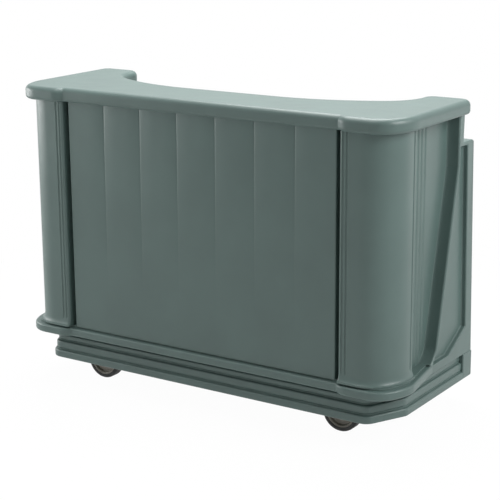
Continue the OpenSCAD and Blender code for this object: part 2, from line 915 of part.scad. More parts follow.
module ice_bin_liner() {
    color(white_c)
        translate([bin_x, bin_y, bin_floor])
            difference() {
                union() {
                    translate([0, 0, -liner_t])
                        soft_block(bin_l + 2 * liner_t, bin_w + 2 * liner_t, bin_d + liner_t,
                            bin_r + liner_t);
                    translate([0, 0, bin_d])
                        soft_block(bin_l + 2 * liner_rim, bin_w + 2 * liner_rim, liner_t, bin_r + liner_rim);
                }
                soft_block(bin_l, bin_w, bin_d + 2 * liner_t, bin_r);
                translate([0, 0, -liner_t - over])
                    cylinder(r = drain_r + run_gap, h = liner_t + 2 * over);
            }
}

module ice_bin_jacket() {
    l = bin_l + 2 * liner_t;
    w = bin_w + 2 * liner_t;
    color(foam_c)
        translate([bin_x, bin_y, jacket_low])
            difference() {
                soft_block(l + 2 * jacket_t, w + 2 * jacket_t, work_under - jacket_low, bin_r + jacket_t);
                translate([0, 0, jacket_t])
                    soft_block(l + seat_gap, w + seat_gap, work_z - jacket_low, bin_r + liner_t);
                translate([0, 0, -over])
                    cylinder(r = drain_r + run_gap, h = jacket_t + 2 * over);
            }
}

lid_z = work_z + liner_t;
module ice_bin_lid() {
    color(body_c)
        translate([bin_x, bin_y, lid_z]) {
            soft_block(bin_l + 2 * liner_rim, bin_w + 2 * liner_rim, lid_t, bin_r + liner_rim);
            translate([0, 0, -plug_h])
                soft_block(bin_l - 2 * plug_gap, bin_w - 2 * plug_gap, plug_h + over, bin_r - plug_gap);
        }
}

module lid_handle() {
    color(body_c)
        translate([bin_x, bin_y, lid_z + lid_t])
            difference() {
                box([-handle_l / 2, -handle_s / 2, 0], [handle_l / 2, handle_s / 2, handle_h]);
                box([handle_s - handle_l / 2, -handle_s, -over],
                    [handle_l / 2 - handle_s, handle_s, handle_h - handle_s]);
            }
}

drain_low = jacket_low - drain_drop;
module drain_fitting() {
    color(steel_c)
        translate([bin_x, bin_y, 0])
            difference() {
                union() {
                    translate([0, 0, bin_floor])
                        cylinder(r = drain_flange_r, h = drain_flange_t);
                    translate([0, 0, drain_low])
                        cylinder(r = drain_r, h = bin_floor - drain_low + drain_flange_t / 2);
                    translate([0, 0, jacket_low - drain_flange_t])
                        cylinder(r = drain_flange_r, h = drain_flange_t, $fn = 6);
                }
                translate([0, 0, drain_low - over])
                    cylinder(r = drain_r - drain_wall,
                        h = bin_floor - drain_low + drain_flange_t + 2 * over);
            }
}

valve_low = drain_low - valve_l;
valve_z = drain_low - valve_l / 2;
module drain_valve() {
    color(brass_c)
        translate([bin_x, bin_y, 0])
            difference() {
                union() {
                    translate([0, 0, valve_low])
                        cylinder(r = valve_r, h = valve_l);
                    translate([0, 0, valve_low - spigot_l])
                        cylinder(r = spigot_r, h = spigot_l + over);
                    translate([0, 0, valve_z])
                        rotate([-90, 0, 0])
                            cylinder(r = stem_r, h = valve_r + stem_l);
                }
                translate([0, 0, valve_low - spigot_l - over])
                    cylinder(r = spigot_r - drain_wall, h = spigot_l + valve_l / 3);
            }
}

lever_y = bin_y + valve_r + stem_l - lever_t - over;
module valve_lever() {
    color(red_c)
        translate([bin_x, lever_y, valve_z])
            rotate([-90, 0, 0])
                difference() {
                    union() {
                        cylinder(r = lever_w / 2, h = lever_t);
                        box([-lever_w / 2, 0, 0], [lever_w / 2, lever_l, lever_t]);
                        translate([0, lever_l, 0])
                            cylinder(r = lever_w / 2, h = lever_t);
                    }
                    translate([0, 0, -over])
                        cylinder(r = stem_r + run_gap, h = lever_t + 2 * over);
                }
}

rail_low = work_z - rail_back_h;
module speed_rail() {
    color(steel_c) {
        box([-rail_l / 2, rail_y, rail_low], [rail_l / 2, rail_y + rail_t, work_z + rail_t]);
        box([-rail_l / 2, rail_y, rail_low], [rail_l / 2, rail_y + rail_d + 2 * rail_t, rail_low + rail_t]);
        box([-rail_l / 2, rail_y + rail_d + rail_t, rail_low],
            [rail_l / 2, rail_y + rail_d + 2 * rail_t, rail_low + rail_front_h]);
        for (x = [-rail_l / 2, rail_l / 2 - rail_t])
            box([x, rail_y, rail_low], [x + rail_t, rail_y + rail_d + 2 * rail_t, rail_low + rail_front_h]);
        hook_places() {
            box([-hook_w / 2, hook_slot_y - seat_gap, work_z],
                [hook_w / 2, rail_y + rail_t, work_z + rail_t]);
            box([-hook_w / 2, hook_slot_y - seat_gap, work_z - hook_drop],
                [hook_w / 2, hook_slot_y + rail_t - seat_gap, work_z + rail_t]);
        }
    }
}

plate_z = plinth_top - plate_t;
module caster_bolts() {
    color(zinc_c)
        for (p = caster_pos)
            at_bolts(p) {
                translate([0, 0, plate_z - bolt_head_h])
                    cylinder(r = bolt_head_r, h = bolt_head_h, $fn = 6);
                translate([0, 0, plate_z - bolt_head_h])
                    cylinder(r = bolt_r, h = bolt_head_h + plate_t + base_deck_t);
            }
}

leg_in = wheel_w / 2 + leg_gap;
hub_r = wheel_r - tread;
boss_r = 2 * axle_r + leg_gap;

// Cylinder along Y, from its centre.
module along_y(r, l) {
    rotate([90, 0, 0])
        translate([0, 0, -l / 2])
            cylinder(r = r, h = l);
}

module drilled_plate() {
    difference() {
        box([-plate_l / 2, -plate_w / 2, plate_z], [plate_l / 2, plate_w / 2, plinth_top]);
        at_bolts([0, 0])
            translate([0, 0, plate_z - over])
                cylinder(r = bolt_r + run_gap, h = plate_t + 2 * over);
    }
}

// Two legs from a crown at height h down to the axle, which is moved along X by dx.
module legs(dx, h, half_top_l) {
    for (s = [0, 1])
        mirror([0, s, 0])
            difference() {
                union() {
                    translate([0, leg_in + leg_t, 0])
                        rotate([90, 0, 0])
                            linear_extrude(leg_t)
                                polygon([[-half_top_l, h], [dx - boss_r, wheel_r], [dx + boss_r, wheel_r],
                                    [half_top_l, h]]);
                    translate([dx, leg_in + leg_t / 2, wheel_r])
                        along_y(boss_r, leg_t);
                }
                translate([dx, leg_in + leg_t / 2, wheel_r])
                    along_y(axle_r + run_gap, 2 * leg_t);
            }
}

module rigid_bracket(p) {
    color(zinc_c)
        translate([p.x, p.y, 0]) {
            drilled_plate();
            legs(0, plate_z, race_r);
        }
}

module axle(p, dx) {
    color(zinc_c)
        translate([p.x + dx, p.y, wheel_r]) {
            along_y(axle_r, 2 * (leg_in + leg_t));
            for (s = [-1, 1])
                translate([0, s * (leg_in + leg_t + axle_r / 2), 0])
                    rotate([90, 0, 0])
                        translate([0, 0, -axle_r / 2])
                            cylinder(r = 2 * axle_r, h = axle_r, $fn = 6);
        }
}

module hub(p, dx) {
    rim_in = hub_r - tread / 2;
    color(hub_c)
        translate([p.x + dx, p.y, wheel_r])
            rotate([90, 0, 0])
                rotate_extrude()
                    polygon([[axle_r + run_gap, -leg_in + run_gap], [boss_r, -leg_in + run_gap],
                        [boss_r + leg_gap, -wheel_w / 5], [rim_in - leg_gap, -wheel_w / 5],
                        [rim_in, -wheel_w / 2 + leg_gap], [hub_r - run_gap, -wheel_w / 2 + leg_gap],
                        [hub_r - run_gap, wheel_w / 2 - leg_gap], [rim_in, wheel_w / 2 - leg_gap],
                        [rim_in - leg_gap, wheel_w / 5], [boss_r + leg_gap, wheel_w / 5],
                        [boss_r, leg_in - run_gap], [axle_r + run_gap, leg_in - run_gap]]);
}

module tyre(p, dx) {
    r = tread / 2;
    color(rubber_c)
        translate([p.x + dx, p.y, wheel_r])
            rotate([90, 0, 0])
                rotate_extrude()
                    polygon(concat([[hub_r, wheel_w / 2], [hub_r, -wheel_w / 2]],
                        arc([wheel_r - r, r - wheel_w / 2], r, -90, 90, arc_n),
                        arc([wheel_r - r, wheel_w / 2 - r], r, 0, 90, arc_n)));
}

race_low = plate_z - race_h;
crown_low = race_low - run_gap - crown_t;
module swivel_plate(p) {
    color(zinc_c)
        translate([p.x, p.y, 0]) {
            drilled_plate();
            translate([0, 0, race_low])
                cylinder(r = race_r, h = race_h);
            translate([0, 0, crown_low - bolt_head_h])
                cylinder(r = king_r, h = plate_z - crown_low + bolt_head_h);
        }
}

module swivel_fork(p) {
    color(zinc_c)
        translate([p.x, p.y, 0]) {
            difference() {
                union() {
                    translate([0, 0, crown_low])
                        cylinder(r = race_r + leg_t, h = crown_t);
                    box([-race_r, -leg_in - leg_t, crown_low],
                        [race_r, leg_in + leg_t, crown_low + crown_t]);
                }
                translate([0, 0, crown_low - over])
                    cylinder(r = king_r + run_gap, h = crown_t + 2 * over);
            }
            difference() {
                legs(-trail, crown_low + crown_t, race_r);
                translate([pedal_pin_x, 0, pedal_pin_z])
                    along_y(pedal_pin_r + run_gap, 3 * leg_in);
            }
        }
}

pedal_pin_x = 2 * pedal_pin_r + over - race_r;
pedal_pin_z = 2 * wheel_r + pedal_pin_r + over;

module brake(p) {
    color(red_c)
        translate([p.x + pedal_pin_x, p.y, pedal_pin_z]) {
            along_y(pedal_pin_r, 2 * (leg_in + leg_t));
            box([-pedal_l, -pedal_w / 2, -pedal_t / 2], [0, pedal_w / 2, pedal_t / 2]);
        }
}

module front_left_bracket() { rigid_bracket(caster_pos[0]); }
module front_left_axle() { axle(caster_pos[0], 0); }
module front_left_hub() { hub(caster_pos[0], 0); }
module front_left_tyre() { tyre(caster_pos[0], 0); }
module rear_left_bracket() { rigid_bracket(caster_pos[1]); }
module rear_left_axle() { axle(caster_pos[1], 0); }
module rear_left_hub() { hub(caster_pos[1], 0); }
module rear_left_tyre() { tyre(caster_pos[1], 0); }
module front_right_plate() { swivel_plate(caster_pos[2]); }
module front_right_fork() { swivel_fork(caster_pos[2]); }
module front_right_axle() { axle(caster_pos[2], -trail); }
module front_right_hub() { hub(caster_pos[2], -trail); }
module front_right_tyre() { tyre(caster_pos[2], -trail); }
module front_right_brake() { brake(caster_pos[2]); }
module rear_right_plate() { swivel_plate(caster_pos[3]); }
module rear_right_fork() { swivel_fork(caster_pos[3]); }
module rear_right_axle() { axle(caster_pos[3], -trail); }
module rear_right_hub() { hub(caster_pos[3], -trail); }
module rear_right_tyre() { tyre(caster_pos[3], -trail); }
module rear_right_brake() { brake(caster_pos[3]); }

bar_top();
front_panel();
left_column();
right_column();
left_side_panel();
right_side_panel();
left_end_panel();
right_end_panel();
base_moulding();
plinth();
rear_sill();
base_frame();
base_deck();
back_wall();
left_inner_wall();
right_inner_wall();
divider();
shelf();
shelf_cleats();
deck_front();
deck_left();
deck_middle();
deck_right();
deck_rear();
bottle_insert();
ice_bin_liner();
ice_bin_jacket();
ice_bin_lid();
lid_handle();
drain_fitting();
drain_valve();
valve_lever();
speed_rail();
caster_bolts();
front_left_bracket();
front_left_axle();
front_left_hub();
front_left_tyre();
rear_left_bracket();
rear_left_axle();
rear_left_hub();
rear_left_tyre();
front_right_plate();
front_right_fork();
front_right_axle();
front_right_hub();
front_right_tyre();
front_right_brake();
rear_right_plate();
rear_right_fork();
rear_right_axle();
rear_right_hub();
rear_right_tyre();
rear_right_brake();
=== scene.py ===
# %% [markdown]
# # A mobile bar unit, dressed for its picture
# The real thing is a bar moulded from polyethylene: a rounded top, a panelled front, two curved
# columns and a stepped plinth on four casters. The measured solids come first, as a fixed frame.
# The lesson then adds what solids can't carry: smooth surfaces, finishes, light and a camera.

# %% Load the frame
import json
import math

import bmesh
import bpy
import numpy as np
from mathutils import Matrix, Vector


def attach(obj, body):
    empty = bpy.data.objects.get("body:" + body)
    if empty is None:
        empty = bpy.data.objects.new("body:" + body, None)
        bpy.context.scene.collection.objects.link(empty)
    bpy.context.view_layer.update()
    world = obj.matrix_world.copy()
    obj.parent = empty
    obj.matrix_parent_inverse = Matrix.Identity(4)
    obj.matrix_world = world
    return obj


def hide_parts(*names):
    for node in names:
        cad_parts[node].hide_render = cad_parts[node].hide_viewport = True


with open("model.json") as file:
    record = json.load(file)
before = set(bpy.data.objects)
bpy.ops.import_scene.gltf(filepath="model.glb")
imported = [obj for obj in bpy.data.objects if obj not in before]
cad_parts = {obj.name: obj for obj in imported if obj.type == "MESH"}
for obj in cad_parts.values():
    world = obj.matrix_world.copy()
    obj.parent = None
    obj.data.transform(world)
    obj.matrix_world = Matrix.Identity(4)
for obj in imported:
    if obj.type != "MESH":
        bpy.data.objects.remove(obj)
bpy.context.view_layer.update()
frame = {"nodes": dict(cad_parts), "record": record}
nodes = frame["nodes"]
MM = 0.001

# %% [markdown]
# ## The camera
# The picture was taken from in front and a little to the right, from just above the bar top, with a
# long lens. Place and lens were worked out from points whose size on the object is known: the wheel
# contacts, the ends of the nosing and the corners of the plinth.

# %% Camera
AZIMUTH, ELEVATION, ROLL = 33.4241, 14.5962, -0.3945
FOCAL_PX, IMAGE_PX = 1473.13, 500
EYE = Vector((3.1045, -4.6757, 2.0425))


def aim(azimuth, elevation, roll):
    """Camera axes as columns: right, up and back, where back points from the object to the eye."""
    a, e = math.radians(azimuth), math.radians(elevation)
    back = Vector((math.sin(a) * math.cos(e), -math.cos(a) * math.cos(e), math.sin(e)))
    right = Vector((math.cos(a), math.sin(a), 0))
    turn = Matrix.Rotation(math.radians(roll), 3, back)
    return (turn @ Matrix((right, back.cross(right), back)).transposed())


scene = bpy.context.scene
scene.view_settings.view_transform = "Standard"
camera_data = bpy.data.cameras.new("camera")
camera_data.sensor_width = 36
camera_data.lens = camera_data.sensor_width * FOCAL_PX / IMAGE_PX
camera_data.clip_end = 200
camera = bpy.data.objects.new("camera", camera_data)
camera.matrix_world = Matrix.Translation(EYE) @ aim(AZIMUTH, ELEVATION, ROLL).to_4x4()
scene.collection.objects.link(camera)
scene.camera = camera
print("lens:", round(camera_data.lens, 2), "mm")

# %% [markdown]
# ## A small language for finishes
# A finish is a few linked nodes. Two helpers keep each recipe to a few lines: one starts a finish,
# the other adds a node and either sets or links each of its inputs. Patterns read Object
# coordinates in metres, so a grain keeps its real size on every piece.

# %% Helpers for finishes


def add(tree, kind, at=None, **inputs):
    """A node of this kind. Each input is a value or the output of another node, by the socket's name."""
    made = tree.nodes.new(kind)
    for key, value in (at or {}).items():
        setattr(made, key, value)
    for key, value in inputs.items():
        socket = made.inputs[int(key[1:]) if key[0] == "i" and key[1:].isdigit() else key.replace("_", " ")]
        if isinstance(value, bpy.types.NodeSocket):
            tree.links.new(value, socket)
        else:
            socket.default_value = value
    return made


def finish_named(name):
    """A new finish: its tree, its shader and the Object coordinates that patterns read."""
    made = bpy.data.materials.new(name)
    made.use_nodes = True
    tree = made.node_tree
    place = tree.nodes.new("ShaderNodeTexCoord").outputs["Object"]
    return made, tree, tree.nodes["Principled BSDF"], place


def grain(tree, place, scale, detail=2.0, rough=0.5):
    """Cloudy noise between 0 and 1, with a number of lumps per metre."""
    return add(tree, "ShaderNodeTexNoise", Vector=place, Scale=scale, Detail=detail,
               Roughness=rough).outputs["Fac"]


def spread(tree, value, low, high, new_low, new_high):
    """Stretches a range of a pattern to another range, and clamps it."""
    return add(tree, "ShaderNodeMapRange", i0=value, i1=low, i2=high, i3=new_low,
               i4=new_high).outputs["Result"]


def tint(tree, amount, first, second):
    """Blend of two colours by a pattern."""
    made = add(tree, "ShaderNodeMix", {"data_type": "RGBA"})
    tree.links.new(amount, made.inputs[0])
    made.inputs[6].default_value = (*first, 1)
    made.inputs[7].default_value = (*second, 1)
    return made.outputs[2]


def bumps(tree, height, depth, normal=None):
    """Bumps of a real depth in metres from a pattern between 0 and 1."""
    made = add(tree, "ShaderNodeBump", Height=height, Distance=depth)
    if normal is not None:
        tree.links.new(normal, made.inputs["Normal"])
    return made.outputs["Normal"]


def linear(hexed):
    """Colour written as RRGGBB, as the numbers a shader works with."""
    c = np.array([int(hexed[i:i + 2], 16) for i in (0, 2, 4)]) / 255
    return tuple(float(v) for v in np.where(c <= 0.04045, c / 12.92, ((c + 0.055) / 1.055) ** 2.4))


print("a mid grey of 7F7F7F is", round(linear("7F7F7F")[0], 3))

# %% [markdown]
# ## The moulded plastic
# The shell is one colour all through, a grey with a little green. Its skin is semi-matte with a fine
# pebble from the mould, slow waves from uneven cooling, and edges that handling has rubbed paler.
# The rubbed edges come from comparing the surface with a rounded copy of its own edges.

# %% Moulded plastic


def moulded(name, colour, paler, roughness, pebble):
    """Semi-matte plastic: tone from slow clouds, pebble from fine noise, worn edges from rounding."""
    made, tree, shader, place = finish_named(name)
    clouds = grain(tree, place, 5.0, 3.0)
    tone = tint(tree, spread(tree, clouds, 0.3, 0.7, 0.0, 1.0), colour, tuple(0.9 * c for c in colour))
    fine = grain(tree, place, 620.0, 2.0, 0.6)
    waves = grain(tree, place, 9.0, 1.0)
    edge = add(tree, "ShaderNodeBevel", {"samples": 4}, Radius=0.004).outputs["Normal"]
    true = tree.nodes.new("ShaderNodeNewGeometry").outputs["Normal"]
    match = add(tree, "ShaderNodeVectorMath", {"operation": "DOT_PRODUCT"}, i0=edge, i1=true)
    worn = spread(tree, match.outputs["Value"], 0.995, 0.9, 0.0, 0.35)
    blend = add(tree, "ShaderNodeMix", {"data_type": "RGBA"}, i0=worn, i6=tone, i7=(*paler, 1))
    tree.links.new(blend.outputs[2], shader.inputs["Base Color"])
    tree.links.new(spread(tree, fine, 0.3, 0.7, roughness - 0.03, roughness + 0.04),
                   shader.inputs["Roughness"])
    slow = bumps(tree, waves, 0.0016)
    tree.links.new(bumps(tree, fine, pebble, slow), shader.inputs["Normal"])
    shader.inputs["Specular IOR Level"].default_value = 0.5
    return made


shell = moulded("grey_green_shell", linear("536763"), linear("788E89"), 0.4, 0.00004)
inner = moulded("grey_green_inside", linear("62736E"), linear("82938E"), 0.45, 0.00025)
print("plastics:", shell.name, inner.name)

# %% [markdown]
# ## Other finishes
# The ice bin has a smooth white liner in a foamed jacket. The rail and the drain are brushed steel,
# the valve is brass, the casters are zinc-plated steel with a rubber tyre on a moulded hub, and the
# lever and pedals are red plastic.

# %% Liner, foam, tyre, hub and red plastic


def mottled(name, first, second, clouds, detail, pits, depth, worn, low, high):
    """Two tones in clouds, pits of a real depth, and a roughness that varies from low to high."""
    made, tree, shader, place = finish_named(name)
    tree.links.new(tint(tree, grain(tree, place, clouds, detail), linear(first), linear(second)),
                   shader.inputs["Base Color"])
    tree.links.new(bumps(tree, grain(tree, place, pits), depth), shader.inputs["Normal"])
    tree.links.new(spread(tree, grain(tree, place, worn), 0.3, 0.7, low, high), shader.inputs["Roughness"])
    return made


liner = mottled("white_liner", "ECEEEC", "DDE0DD", 6.0, 3.0, 14.0, 0.0012, 45.0, 0.16, 0.3)
tyre = mottled("dark_tyre", "2A2B2B", "3D3E3D", 30.0, 4.0, 500.0, 0.0003, 60.0, 0.6, 0.8)
hub = mottled("beige_hub", "A19D93", "8C887E", 24.0, 3.0, 420.0, 0.0002, 80.0, 0.4, 0.6)
red = mottled("red_plastic", "B3261F", "93201B", 30.0, 3.0, 500.0, 0.0002, 90.0, 0.3, 0.45)

foam, tree, shader, place = finish_named("foam_jacket")
cells = add(tree, "ShaderNodeTexVoronoi", Vector=place, Scale=260.0).outputs["Distance"]
tree.links.new(tint(tree, grain(tree, place, 12.0, 4.0), linear("DCD3B4"), linear("C4B88F")),
               shader.inputs["Base Color"])
tree.links.new(bumps(tree, cells, 0.0012), shader.inputs["Normal"])
shader.inputs["Roughness"].default_value = 0.85
print("finishes:", len(bpy.data.materials))

# %% Metals


def metal(name, colour, darker, roughness, stretch):
    """Metal with hair lines: noise squeezed along X, so that its lumps become lines of that length."""
    made, tree, shader, place = finish_named(name)
    drawn = add(tree, "ShaderNodeMapping", Vector=place)
    drawn.inputs["Scale"].default_value = (1 / stretch, 1, 1)
    lines = grain(tree, drawn.outputs["Vector"], 700.0, 3.0, 0.7)
    blotch = grain(tree, place, 14.0, 4.0)
    tree.links.new(tint(tree, blotch, colour, darker), shader.inputs["Base Color"])
    tree.links.new(spread(tree, lines, 0.3, 0.7, roughness - 0.08, roughness + 0.12),
                   shader.inputs["Roughness"])
    tree.links.new(bumps(tree, lines, 0.00008), shader.inputs["Normal"])
    shader.inputs["Metallic"].default_value = 1.0
    return made


steel = metal("brushed_steel", linear("C9CBCC"), linear("B2B4B6"), 0.3, 40.0)
zinc = metal("zinc_plate", linear("B5B8BA"), linear("989B9D"), 0.42, 2.0)
brass = metal("valve_brass", linear("C8A25A"), linear("A98646"), 0.32, 6.0)
print("metals:", steel.name, zinc.name, brass.name)

# %% [markdown]
# ## Outlines and skins
# Rotationally moulded plastic has no sharp edges, and its long curves show every facet. So the large
# pieces are drawn again as fine surfaces, on the same sizes as the solids they stand for. A chain
# is an outline in plan: points with the direction that points out of the material at each. Moving
# a chain inwards is then one line of arithmetic. A skin joins rings of points with four-sided faces.

# %% Chains


def arc_run(centre, radius, start, turn, steps, hollow=False):
    """Arc C + r (cos a, sin a) after its first point; outwards is away from C, or towards it if hollow."""
    a = np.radians(start + turn * np.arange(1, steps + 1) / steps)
    way = np.stack([np.cos(a), np.sin(a)], 1)
    return np.array(centre) + radius * way, (-way if hollow else way)


def line_run(first, last, steps, outwards):
    """Points on a straight line after its first one, all with the same outward direction."""
    t = np.arange(1, steps + 1)[:, None] / steps
    first, last = np.array(first, float), np.array(last, float)
    return first + (last - first) * t, np.repeat([outwards], steps, 0).astype(float)


def chain(first, outwards, *runs):
    """A start point and the runs after it as two arrays: points and outward directions."""
    points = np.concatenate([[first], *[run[0] for run in runs]])
    return points, np.concatenate([[outwards], *[run[1] for run in runs]])


def both_halves(points, outwards):
    """A right half that starts on the middle plane, with its mirror image before it."""
    flip = np.array([-1, 1])
    return (np.concatenate([points[:0:-1] * flip, points]),
            np.concatenate([outwards[:0:-1] * flip, outwards]))


def layers(points, outwards, levels):
    """Chain moved inwards by d at height z, for each level (d, z): array of points, levels, 3."""
    d, z = np.array(levels).T
    flat = points[:, None] - outwards[:, None] * d[None, :, None]
    return np.concatenate([flat, np.broadcast_to(z[None, :, None], (*flat.shape[:2], 1))], 2)


def rounded_edge(height, over, under, steps):
    """Levels (d, z) up an edge with a quarter circle below and one above: d = r (1 - sin a) and so on."""
    a = np.linspace(0, np.pi / 2, steps)
    low = under * np.stack([1 - np.sin(a), 1 - np.cos(a)], 1)
    high = over * np.stack([1 - np.cos(a), np.sin(a)], 1) + [0, height - over]
    return np.concatenate([low, high])


print("a quarter circle of 10 mm ends at", arc_run((0, 0), 10, 0, 90, 4)[0][-1].round(3))

# %% Skins
SMOOTH_BELOW = math.radians(34)


def skin(name, rings, node, capped=True):
    """Closed rings (rings, points, 3) in millimetres, joined in order; the ends are capped or meet."""
    n_rings, n = rings.shape[:2]
    ring = np.arange(n_rings - 1)[:, None] * n
    at = np.arange(n)[None, :]
    after = (at + 1) % n
    quads = np.stack([ring + at, ring + after, ring + n + after, ring + n + at], 2).reshape(-1, 4)
    faces = quads.tolist()
    if capped:
        faces += [list(range(n)), list(range((n_rings - 1) * n, n_rings * n))]
    mesh = bpy.data.meshes.new(name)
    mesh.from_pydata((rings.reshape(-1, 3) * MM).tolist(), [], faces)
    work = bmesh.new()
    work.from_mesh(mesh)
    bmesh.ops.remove_doubles(work, verts=work.verts, dist=1e-6)
    bmesh.ops.dissolve_degenerate(work, edges=work.edges, dist=1e-7)
    bmesh.ops.recalc_face_normals(work, faces=work.faces)
    work.to_mesh(mesh)
    work.free()
    mesh.shade_smooth()
    mesh.set_sharp_from_angle(angle=SMOOTH_BELOW)
    mesh.materials.append(shell)
    made = bpy.data.objects.new(name, mesh)
    scene.collection.objects.link(made)
    made.modifiers.new("large_faces_decide", "WEIGHTED_NORMAL").keep_sharp = True
    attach(made, "bar_body")
    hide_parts(node)
    print(name, len(mesh.vertices), "points", len(mesh.polygons), "faces")
    return made


# %% [markdown]
# ## The bar top
# Seen from above the top is a U: a straight counter that widens into a wing at each end. Its edge is a
# bull nose, a large rounding above and a smaller one below. The surface is a closed section, out
# along the nose, over the flat and back below, carried from the end of one wing to the end of the other.
# At the wing ends the section narrows to nothing, so they need no cap.

# %% Bar top
FRONT, SET_BACK, HALF = -370.0, 19.0, 856.0
MIDDLE = FRONT + SET_BACK
TOP_UNDER, TOP_H, NOSE_OVER, NOSE_UNDER = 1165.0, 54.0, 22.0, 14.0
WING_END, WING_IN, COUNTER = 222.0, 666.0, -78.0
WING_OUT_R, WING_IN_R = 42.0, 50.0

# edge of a corner block: a small hollow arc and a large full one make an S
block_small, block_large = 5.0, 67.0
block_turn = math.degrees(math.acos(1 - SET_BACK / (block_small + block_large)))
block_begin = 612.0
block_end = block_begin + (block_small + block_large) * math.sin(math.radians(block_turn))
# front corner: 60 degrees of a small arc, then 30 degrees of a large one
small_r, large_r = 100.0, 220.0
sin_60 = math.sin(math.radians(60))
corner = np.array([HALF - small_r * sin_60 - large_r * (1 - sin_60), FRONT + small_r])
cheek = corner + (small_r - large_r) * np.array([sin_60, -0.5])


def front_runs(steps):
    """Runs of the front from the middle plane to the side: flat, S of the block, flat, corner, cheek."""
    return (line_run((0, MIDDLE), (block_begin, MIDDLE), steps, (0, -1)),
            arc_run((block_begin, MIDDLE - block_small), block_small, 90, -block_turn, 7, hollow=True),
            arc_run((block_end, FRONT + block_large), block_large, 270 - block_turn, block_turn, 8),
            line_run((block_end, FRONT), (corner[0], FRONT), 3, (0, -1)),
            arc_run(corner, small_r, -90, 60, 12), arc_run(cheek, large_r, -30, 30, 10))


wing_mid = ((WING_IN + WING_IN_R + HALF - WING_OUT_R) / 2, WING_END)
outer = chain((0, MIDDLE), (0, -1), *front_runs(24),
              line_run((HALF, cheek[1]), (HALF, WING_END - WING_OUT_R), 6, (1, 0)),
              arc_run((HALF - WING_OUT_R, WING_END - WING_OUT_R), WING_OUT_R, 0, 90, 12),
              line_run((HALF - WING_OUT_R, WING_END), wing_mid, 2, (0, 1)))
# inner corner: 30 degrees of a large hollow arc, then 60 degrees of a small one
turn_r, sweep_r = 150.0, 780.0
turn = np.array([WING_IN - turn_r, COUNTER + sweep_r + (turn_r - sweep_r) * sin_60])
sweep = turn + (turn_r - sweep_r) * np.array([0.5, -sin_60])
inner_edge = chain((0, COUNTER), (0, 1), line_run((0, COUNTER), (sweep[0], COUNTER), 12, (0, 1)),
                   arc_run(sweep, sweep_r, -90, 30, 30, hollow=True),
                   arc_run(turn, turn_r, -60, 60, 22, hollow=True),
                   line_run((WING_IN, turn[1]), (WING_IN, WING_END - WING_IN_R), 6, (-1, 0)),
                   arc_run((WING_IN + WING_IN_R, WING_END - WING_IN_R), WING_IN_R, 180, -90, 12),
                   line_run((WING_IN + WING_IN_R, WING_END), wing_mid, 2, (0, 1)))
nosing = rounded_edge(TOP_H, NOSE_OVER, NOSE_UNDER, 12) + [0, TOP_UNDER]
out_side = layers(*both_halves(*outer), nosing)
in_side = layers(*both_halves(*inner_edge), nosing)[:, ::-1]
share = np.array([0.03, 0.2, 0.5, 0.8, 0.97])[None, :, None]
flat_top = out_side[:, -1:] * (1 - share) + in_side[:, :1] * share
flat_under = in_side[:, -1:] * (1 - share) + out_side[:, :1] * share
skin("bullnose_top", np.concatenate([out_side, flat_top, in_side, flat_under], 1), "bar_top", capped=False)

# %% [markdown]
# ## Base moulding and plinth
# The foot of the body repeats the top's outline as a rounded moulding, with a seam above it and a deep
# joint below. Then the plinth steps out in three layers with a groove over each, and its front corners
# are cut off. Both are a section carried along a chain, with a flat cap at each end.

# %% Base moulding
PLINTH_TOP, LIP_H, LIP_REAR, LIP_FOOT = 209.0, 47.0, 13.5, 817.0
# behind the corner the moulding narrows, from the cheek to its end at the rear
narrowing = np.array([LIP_FOOT - HALF, LIP_REAR - cheek[1]])
lip_way = np.array([narrowing[1], -narrowing[0]]) / math.hypot(*narrowing)
lip_chain = both_halves(*chain((0, MIDDLE), (0, -1), *front_runs(24),
                               line_run((HALF, cheek[1]), (LIP_FOOT, LIP_REAR), 6, lip_way)))
inner_front, inner_side = -298.5, 762.5
lip_wall = both_halves(*chain((0, inner_front), (0, 1),
                              line_run((0, inner_front), (inner_side, inner_front), 42, (0, 1)),
                              line_run((inner_side, inner_front), (inner_side, LIP_REAR), 28, (-1, 0))))
LIP_ROUND, LIP_JOINT, JOINT_IN, SEAM_H, SEAM_IN = 9.0, 6.0, 44.0, 7.0, 20.0
lip_edge = rounded_edge(LIP_H - LIP_JOINT - SEAM_H, LIP_ROUND, LIP_ROUND, 10) + [0, PLINTH_TOP + LIP_JOINT]
lip_levels = np.concatenate([[(JOINT_IN, PLINTH_TOP), (JOINT_IN, PLINTH_TOP + LIP_JOINT)], lip_edge,
                             [(SEAM_IN, PLINTH_TOP + LIP_H - SEAM_H), (SEAM_IN, PLINTH_TOP + LIP_H)]])
lip_out = layers(*lip_chain, lip_levels)
lip_in = layers(*lip_wall, [(0, PLINTH_TOP + LIP_H), (0, PLINTH_TOP)])
skin("foot_moulding", np.concatenate([lip_out, lip_in], 1), "base_moulding")

# %% Plinth
PLINTH_Z, LAYER_H, GROOVE_H, STEP, ROUND, WALL = 106.0, 31.0, 5.0, 9.0, 5.0, 35.0
GROOVE_IN, LEDGE_R, TOP_LAYER_H = 2.0, 8.0, 22.0
LAYERS, VALLEY_RISE, VALLEY_FALL, PLINTH_REAR = 3, 0.5, 1.0, 296.0


def layer_levels(i):
    """Levels (d, z) up one layer: rounded foot and head, then the groove over it."""
    low = PLINTH_Z + i * (LAYER_H + GROOVE_H)
    high, over = LAYER_H, low + LAYER_H + GROOVE_H - VALLEY_FALL
    if i == LAYERS - 1:
        high, over = TOP_LAYER_H, PLINTH_TOP
    edge = rounded_edge(high, LEDGE_R, ROUND, 6) + [i * STEP, low]
    back = (i + 1) * STEP + GROOVE_IN
    return edge.tolist() + [(back, low + high + VALLEY_RISE), (back, over)]


plinth_levels = [level for i in range(LAYERS) for level in layer_levels(i)]
plinth_levels += [(WALL, PLINTH_TOP), (WALL, PLINTH_Z)]
